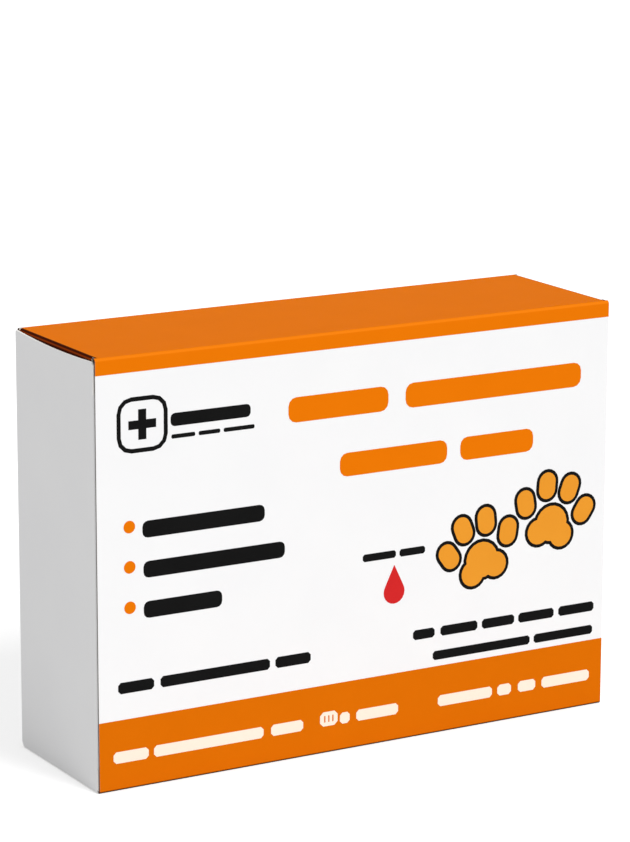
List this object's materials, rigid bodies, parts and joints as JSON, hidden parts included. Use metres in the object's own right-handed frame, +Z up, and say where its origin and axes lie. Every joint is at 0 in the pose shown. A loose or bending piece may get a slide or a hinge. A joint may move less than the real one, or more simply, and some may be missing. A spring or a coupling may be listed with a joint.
{
  "type": "folding carton",
  "caption": "Tuck-end paperboard carton on its long side, with hinged end closures, plain colour bands and a sealed kit inside.",
  "frame": {"origin": "middle of the underside, on the surface that the carton stands on", "axes": "+X along the tube from the left closure to the right one, +Y from the printed front to the plain back, +Z up"},
  "size_m": [0.1508, 0.0441, 0.11],
  "materials": {
    "white_board": "clay-coated white paperboard, satin outside",
    "orange_ink": "solid orange ink under a thin satin varnish",
    "black_ink": "solid black ink, satin",
    "amber_ink": "flat amber ink, satin",
    "red_ink": "flat red ink, satin",
    "cream_ink": "unprinted light shapes in the band",
    "foil": "matt silver laminate, slightly creased",
    "leaflet_paper": "thin uncoated paper",
    "clear_polyethylene": "milky, half clear, soft plastic"
  },
  "bodies": {
    "carton": {"carton_sleeve": "white_board", "print_orange": "orange_ink", "print_black": "black_ink", "print_amber": "amber_ink", "print_red": "red_ink", "print_cream": "cream_ink", "foil_pouch": "foil", "leaflet": "leaflet_paper", "buffer_ampoule": "clear_polyethylene", "pipette": "clear_polyethylene"},
    "left_closure": {"left_tuck_flap": "white_board"},
    "right_closure": {"right_tuck_flap": "white_board"}
  },
  "joints": [
    {"name": "left_flap_hinge", "type": "hinge", "parent": "carton", "child": "left_closure", "pos_m": [-0.0749, 0.0215, 0.055], "axis": [0, 0, -1], "range_deg": [0, 130]},
    {"name": "right_flap_hinge", "type": "hinge", "parent": "carton", "child": "right_closure", "pos_m": [0.0749, 0.0215, 0.055], "axis": [0, 0, 1], "range_deg": [0, 130]}
  ]
}
